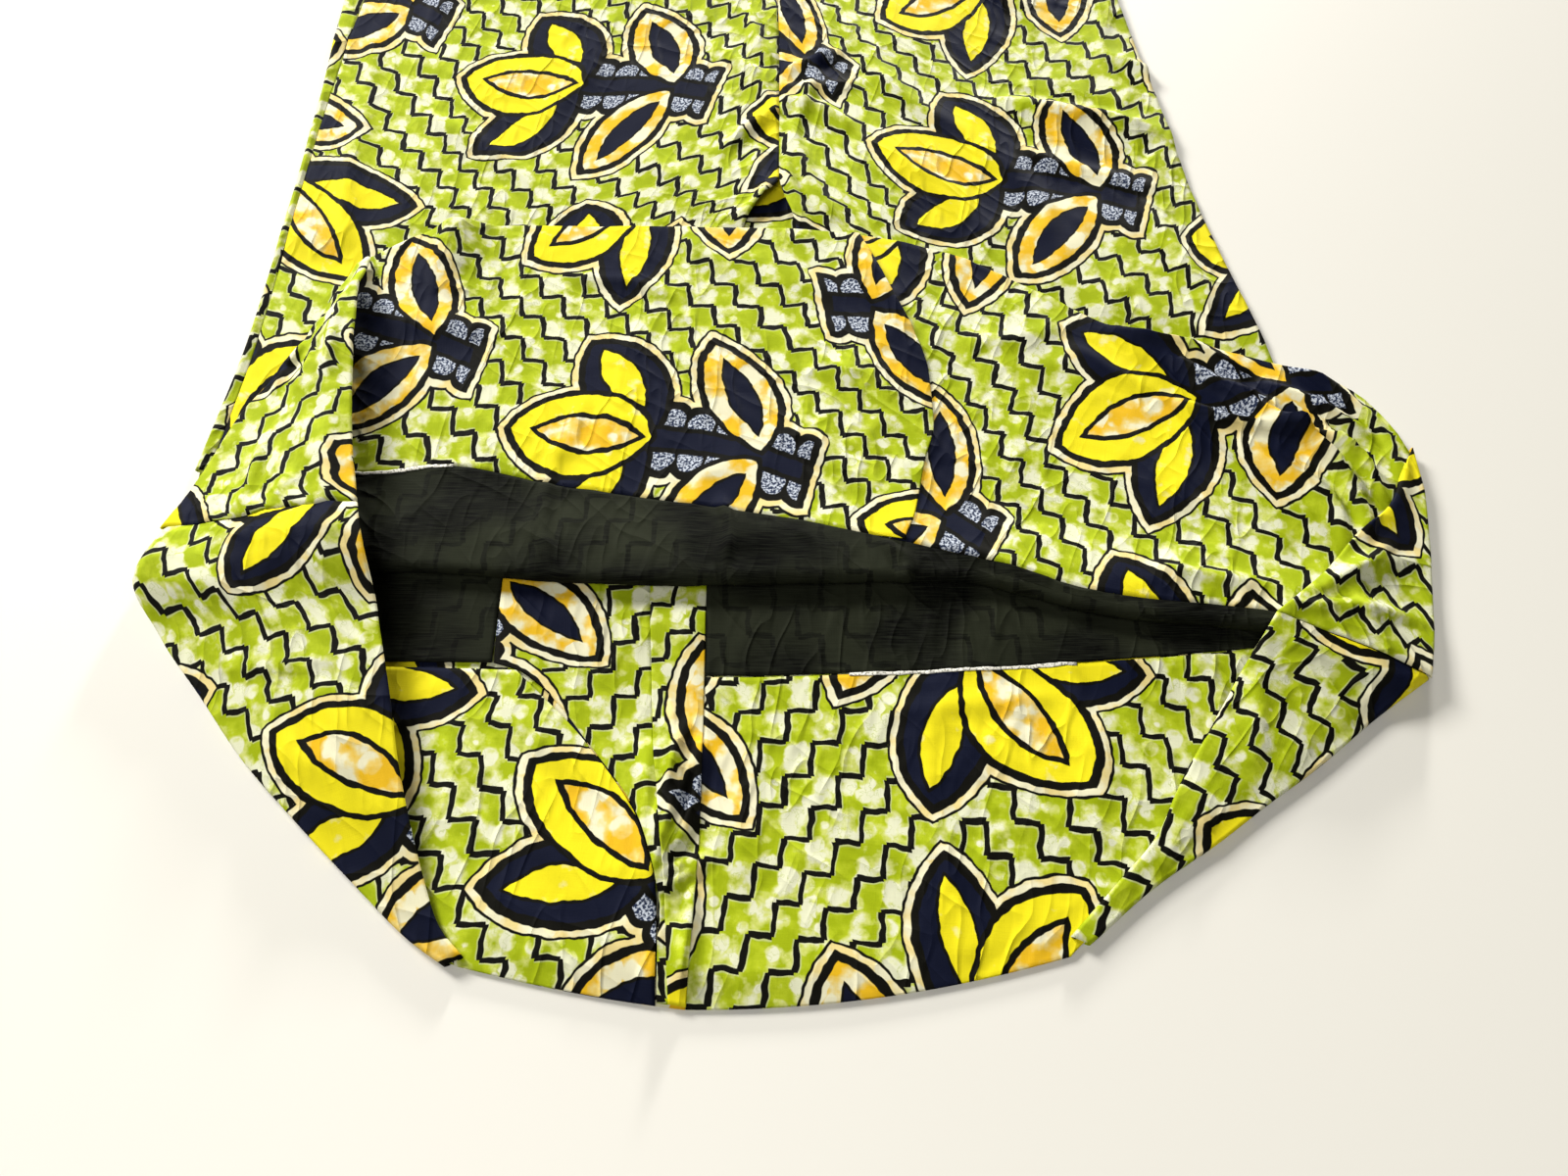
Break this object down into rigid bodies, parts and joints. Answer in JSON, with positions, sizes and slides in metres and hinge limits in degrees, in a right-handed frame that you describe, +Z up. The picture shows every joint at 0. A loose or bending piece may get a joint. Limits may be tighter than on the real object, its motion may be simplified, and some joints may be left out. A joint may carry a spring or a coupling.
{
  "type": "wax print dress",
  "caption": "Sleeveless A-line cotton wax print dress laid flat on its front, its wide hem turned up and its side corners folded in to show facings and lining.",
  "frame": {"origin": "on the surface the dress lies on, under the middle of its bounding box", "axes": "+Y from the turned-up hem to the shoulders, +Z up off the surface, +X to the wearer's right, whose back is up"},
  "size_m": [0.6662, 1.196, 0.0292],
  "materials": {
    "wax_print": "printed plain-weave cotton, matt with a faint sheen",
    "lining": "thin black lining voile, matt, slightly sheer"
  },
  "bodies": {
    "root": {"front_left": "wax_print", "front_right": "wax_print", "back_left": "wax_print", "back_right": "wax_print", "front_left_turned": "wax_print", "front_right_turned": "wax_print", "back_left_turned": "wax_print", "back_right_turned": "wax_print", "back_vent_underlay": "wax_print", "back_facing_left": "wax_print", "back_facing_right": "wax_print", "back_lining": "lining", "front_facing_left": "wax_print", "front_facing_right": "wax_print", "front_vent_facing": "wax_print", "front_vent_underlap": "wax_print", "front_lining_left": "lining", "front_lining_right": "lining"}
  },
  "joints": []
}
